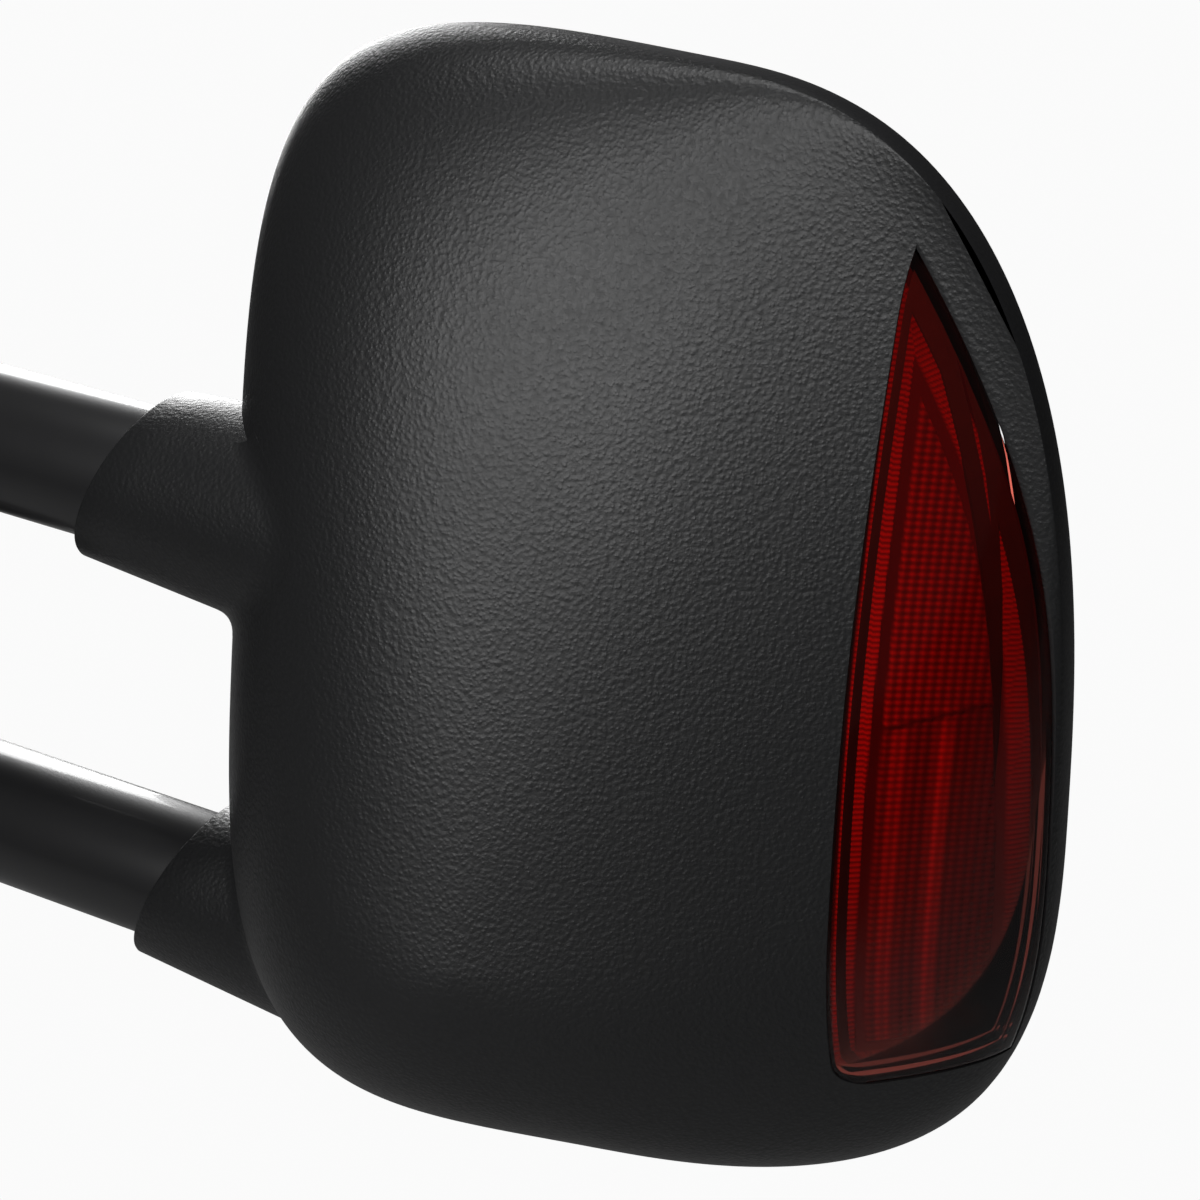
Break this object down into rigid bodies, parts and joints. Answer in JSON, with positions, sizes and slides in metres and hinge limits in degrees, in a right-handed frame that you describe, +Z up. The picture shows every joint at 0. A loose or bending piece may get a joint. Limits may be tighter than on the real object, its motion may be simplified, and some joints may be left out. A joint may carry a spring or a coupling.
{
  "type": "towing mirror",
  "caption": "Extending door mirror for towing: twin-tube folding arm, sliding head with red side lamp, tilting main glass and lower convex glass.",
  "frame": {"origin": "centre of the face that lies on the vehicle door", "axes": "+X outboard away from the door, +Y rearward (the way the mirror glass faces), +Z up; head drawn out to its towing position"},
  "size_m": [0.523, 0.1341, 0.3205],
  "materials": {
    "textured_black": "fine pebble grain, low sheen",
    "housing_black": "fine grain, low sheen",
    "satin_black_tube": "smooth satin black coating",
    "cast_black": "black e-coat on cast surface",
    "zinc_steel": "zinc plated",
    "spring_steel": "bright spring steel",
    "bronze": "sintered bronze",
    "soft_rubber": "matte rubber",
    "natural_nylon": "natural acetal",
    "dark_nylon": "moulded glass filled nylon",
    "red_lens": "clear red acrylic, polished outside",
    "red_optic": "clear red acrylic, prismatic",
    "chrome_reflector": "vacuum metallised",
    "circuit_board": "solder mask",
    "amber_led": "epoxy lens",
    "bulb_glass": "clear glass",
    "motor_can": "drawn steel can",
    "mirror_glass": "silvered glass",
    "heater_foil": "polyimide foil"
  },
  "bodies": {
    "door_mount": {"base_casting": "cast_black", "door_gasket": "soft_rubber", "door_studs": "zinc_steel", "base_cover": "textured_black", "wire_grommet": "soft_rubber", "pivot_pin": "zinc_steel", "pivot_nut": "zinc_steel", "spring_washers": "spring_steel", "thrust_washers": "bronze", "pivot_cap": "textured_black"},
    "arms": {"arm_bracket": "cast_black", "pivot_bushes": "bronze", "bracket_cover_front": "textured_black", "bracket_cover_rear": "textured_black", "bracket_cover_screws": "zinc_steel", "tube_set_screws": "zinc_steel", "upper_arm_tube": "satin_black_tube", "lower_arm_tube": "satin_black_tube", "tube_end_stops": "natural_nylon"},
    "head": {"head_frame": "cast_black", "tube_bushes": "natural_nylon", "friction_pads": "natural_nylon", "friction_springs": "spring_steel", "friction_plugs": "natural_nylon", "tube_seals": "soft_rubber", "carrier_plate": "cast_black", "frame_screws": "zinc_steel", "front_shell": "textured_black", "cuff_cap_upper": "textured_black", "cuff_cap_lower": "textured_black", "rear_housing": "housing_black", "signal_lens": "red_lens", "lens_optic": "red_optic", "lamp_reflector": "chrome_reflector", "lamp_housing": "dark_nylon", "led_board": "circuit_board", "signal_leds": "amber_led", "marker_bulb": "bulb_glass", "bulb_socket": "dark_nylon", "actuator_case": "dark_nylon", "actuator_cover": "dark_nylon", "tilt_motor_vertical": "motor_can", "tilt_motor_horizontal": "motor_can", "actuator_screws": "zinc_steel", "spotter_mount": "dark_nylon"},
    "vertical_jack": {"jack_vertical": "natural_nylon"},
    "horizontal_jack": {"jack_horizontal": "natural_nylon"},
    "upper_gimbal": {"glass_gimbal": "dark_nylon"},
    "upper_mirror": {"upper_glass": "mirror_glass", "glass_heater": "heater_foil", "upper_glass_holder": "dark_nylon"},
    "lower_gimbal": {"spotter_gimbal": "dark_nylon"},
    "lower_mirror": {"spotter_glass": "mirror_glass", "spotter_holder": "dark_nylon"}
  },
  "joints": [
    {"name": "fold", "type": "hinge", "parent": "door_mount", "child": "arms", "pos_m": [0.05, 0, 0], "axis": [0, 0, 1], "range_deg": [-50, 75]},
    {"name": "extend", "type": "slide", "parent": "arms", "child": "head", "axis": [1, 0, 0], "range_m": [-0.072, 0]},
    {"name": "tilt_vertical", "type": "hinge", "parent": "head", "child": "upper_gimbal", "pos_m": [0.373, 0.0495, 0.112], "axis": [1, 0, 0], "range_deg": [-5.5, 5.5]},
    {"name": "tilt_horizontal", "type": "hinge", "parent": "upper_gimbal", "child": "upper_mirror", "pos_m": [0.373, 0.0495, 0.112], "axis": [0, 0, 1], "range_deg": [-5, 5]},
    {"name": "jack_vertical_slide", "type": "slide", "parent": "head", "child": "vertical_jack", "axis": [0, 1, 0], "range_m": [-0.0026, 0.0026]},
    {"name": "jack_horizontal_slide", "type": "slide", "parent": "head", "child": "horizontal_jack", "axis": [0, 1, 0], "range_m": [-0.0024, 0.0024]},
    {"name": "spotter_vertical", "type": "hinge", "parent": "head", "child": "lower_gimbal", "pos_m": [0.373, 0.0495, -0.056], "axis": [1, 0, 0], "range_deg": [-6, 6]},
    {"name": "spotter_horizontal", "type": "hinge", "parent": "lower_gimbal", "child": "lower_mirror", "pos_m": [0.373, 0.0495, -0.056], "axis": [0, 0, 1], "range_deg": [-6, 6]}
  ],
  "couplings": [
    {"joint": "jack_vertical_slide", "follows": "tilt_vertical", "m_per_rad": -0.026},
    {"joint": "jack_horizontal_slide", "follows": "tilt_horizontal", "m_per_rad": -0.026}
  ]
}
